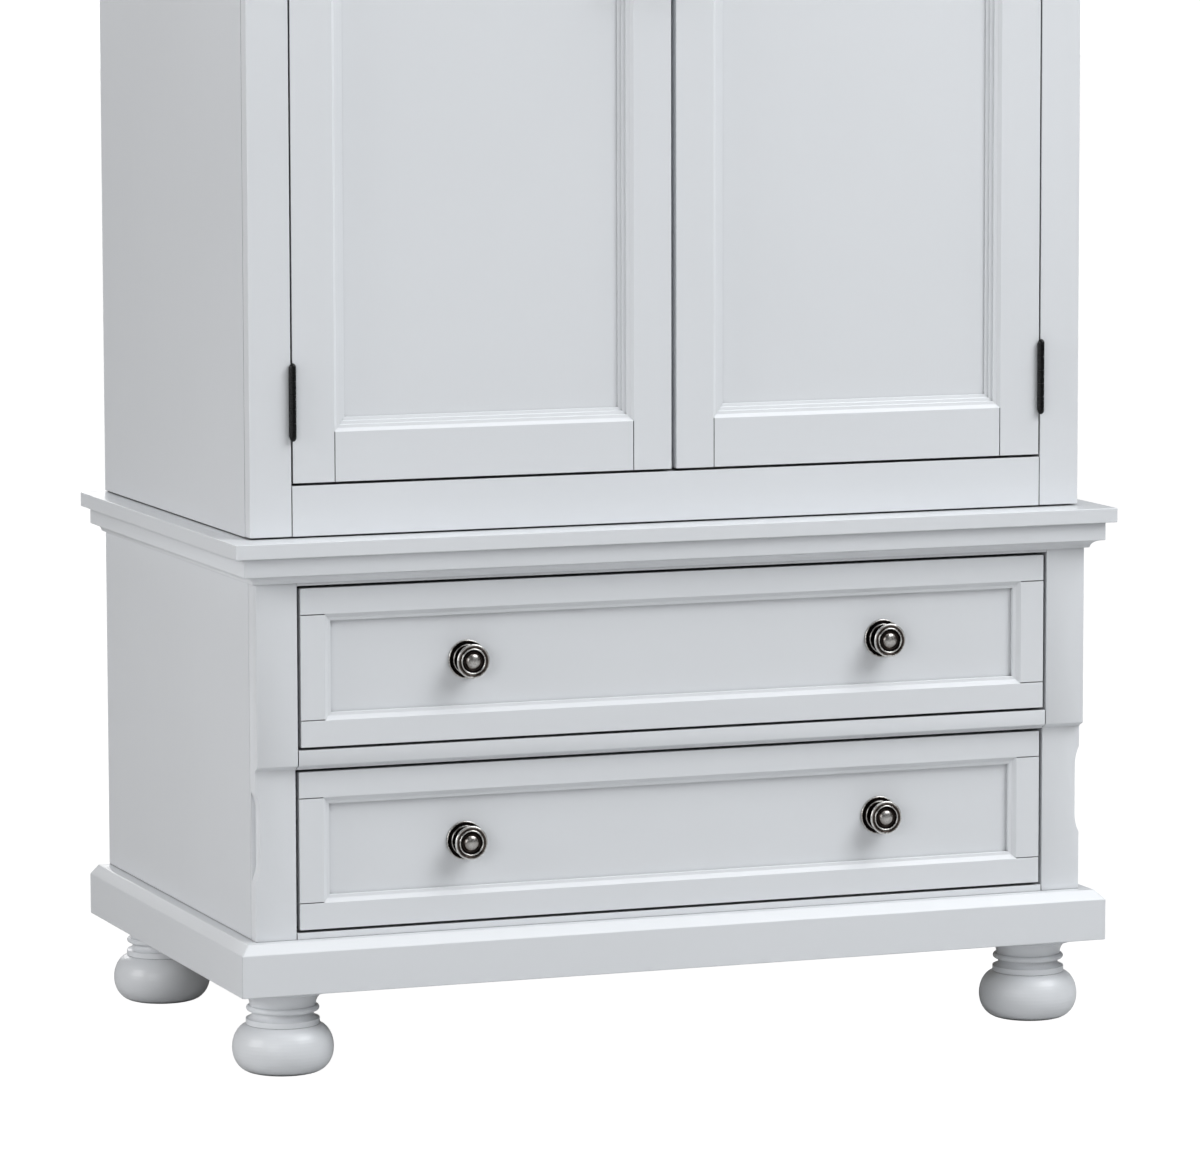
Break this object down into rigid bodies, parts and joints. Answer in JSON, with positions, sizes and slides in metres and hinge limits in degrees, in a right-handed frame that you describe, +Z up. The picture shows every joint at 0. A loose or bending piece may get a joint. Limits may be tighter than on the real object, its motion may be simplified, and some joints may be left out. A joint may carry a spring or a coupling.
{
  "type": "armoire",
  "caption": "Free-standing white armoire: a wardrobe case with panelled doors and a crown moulding stands on a panelled drawer chest with a plinth and turned bun feet.",
  "frame": {"origin": "on the floor, under the middle of the overall box", "axes": "+Z up, the front faces -Y, +X to the right of someone facing the front"},
  "size_m": [1.016, 0.593, 1.9285],
  "materials": {
    "white_lacquer": "satin white lacquer over wood",
    "interior_lacquer": "matt off-white lacquer on plywood and board",
    "bare_wood": "unpainted softwood blocks",
    "pewter": "antique pewter with darkened recesses",
    "black_steel": "black satin paint",
    "zinc_steel": "zinc-plated steel",
    "rod_chrome": "polished chrome",
    "catch_plastic": "off-white moulded plastic"
  },
  "bodies": {
    "cabinet": {"bun_feet": "white_lacquer", "foot_bolts": "zinc_steel", "foot_blocks": "bare_wood", "plinth_front": "white_lacquer", "plinth_sides": "white_lacquer", "plinth_back": "white_lacquer", "chest_side_left": "white_lacquer", "chest_side_right": "white_lacquer", "chest_back": "interior_lacquer", "chest_bottom": "interior_lacquer", "pilaster_left": "white_lacquer", "pilaster_right": "white_lacquer", "pilaster_blocks": "white_lacquer", "chest_top_rail": "white_lacquer", "chest_mid_rail": "white_lacquer", "chest_bottom_rail": "white_lacquer", "chest_moulding": "white_lacquer", "chest_top": "white_lacquer", "slide_packers": "bare_wood", "slide_cabinet_members": "zinc_steel", "case_side_left": "white_lacquer", "case_side_right": "white_lacquer", "case_back": "interior_lacquer", "case_bottom": "interior_lacquer", "case_top": "interior_lacquer", "case_stiles": "white_lacquer", "case_bottom_rail": "white_lacquer", "case_top_rail": "white_lacquer", "crown_moulding": "white_lacquer", "cornice_board": "white_lacquer", "wardrobe_shelf": "interior_lacquer", "hanging_rod": "rod_chrome", "rod_sockets": "zinc_steel", "frame_hinge_leaves": "black_steel", "hinge_pins": "black_steel", "door_catches": "catch_plastic"},
    "door_left": {"door_left_stiles": "white_lacquer", "door_left_rails": "white_lacquer", "door_left_panel": "white_lacquer", "door_left_hinge_leaves": "black_steel", "door_left_knob": "pewter"},
    "door_right": {"door_right_stiles": "white_lacquer", "door_right_rails": "white_lacquer", "door_right_panel": "white_lacquer", "door_right_hinge_leaves": "black_steel", "door_right_knob": "pewter"},
    "drawer_upper": {"drawer_upper_rails": "white_lacquer", "drawer_upper_stiles": "white_lacquer", "drawer_upper_panel": "white_lacquer", "drawer_upper_box": "interior_lacquer", "drawer_upper_bottom": "interior_lacquer", "drawer_upper_knobs": "pewter", "drawer_upper_slide_members": "zinc_steel"},
    "drawer_lower": {"drawer_lower_rails": "white_lacquer", "drawer_lower_stiles": "white_lacquer", "drawer_lower_panel": "white_lacquer", "drawer_lower_box": "interior_lacquer", "drawer_lower_bottom": "interior_lacquer", "drawer_lower_knobs": "pewter", "drawer_lower_slide_members": "zinc_steel"}
  },
  "joints": [
    {"name": "door_left_hinge", "type": "hinge", "parent": "cabinet", "child": "door_left", "pos_m": [-0.432, -0.2575, 1.2185], "axis": [0, 0, -1], "range_deg": [0, 170]},
    {"name": "door_right_hinge", "type": "hinge", "parent": "cabinet", "child": "door_right", "pos_m": [0.432, -0.2575, 1.2185], "axis": [0, 0, 1], "range_deg": [0, 170]},
    {"name": "drawer_upper_slide", "type": "slide", "parent": "cabinet", "child": "drawer_upper", "axis": [0, -1, 0], "range_m": [0, 0.34]},
    {"name": "drawer_lower_slide", "type": "slide", "parent": "cabinet", "child": "drawer_lower", "axis": [0, -1, 0], "range_m": [0, 0.34]}
  ]
}
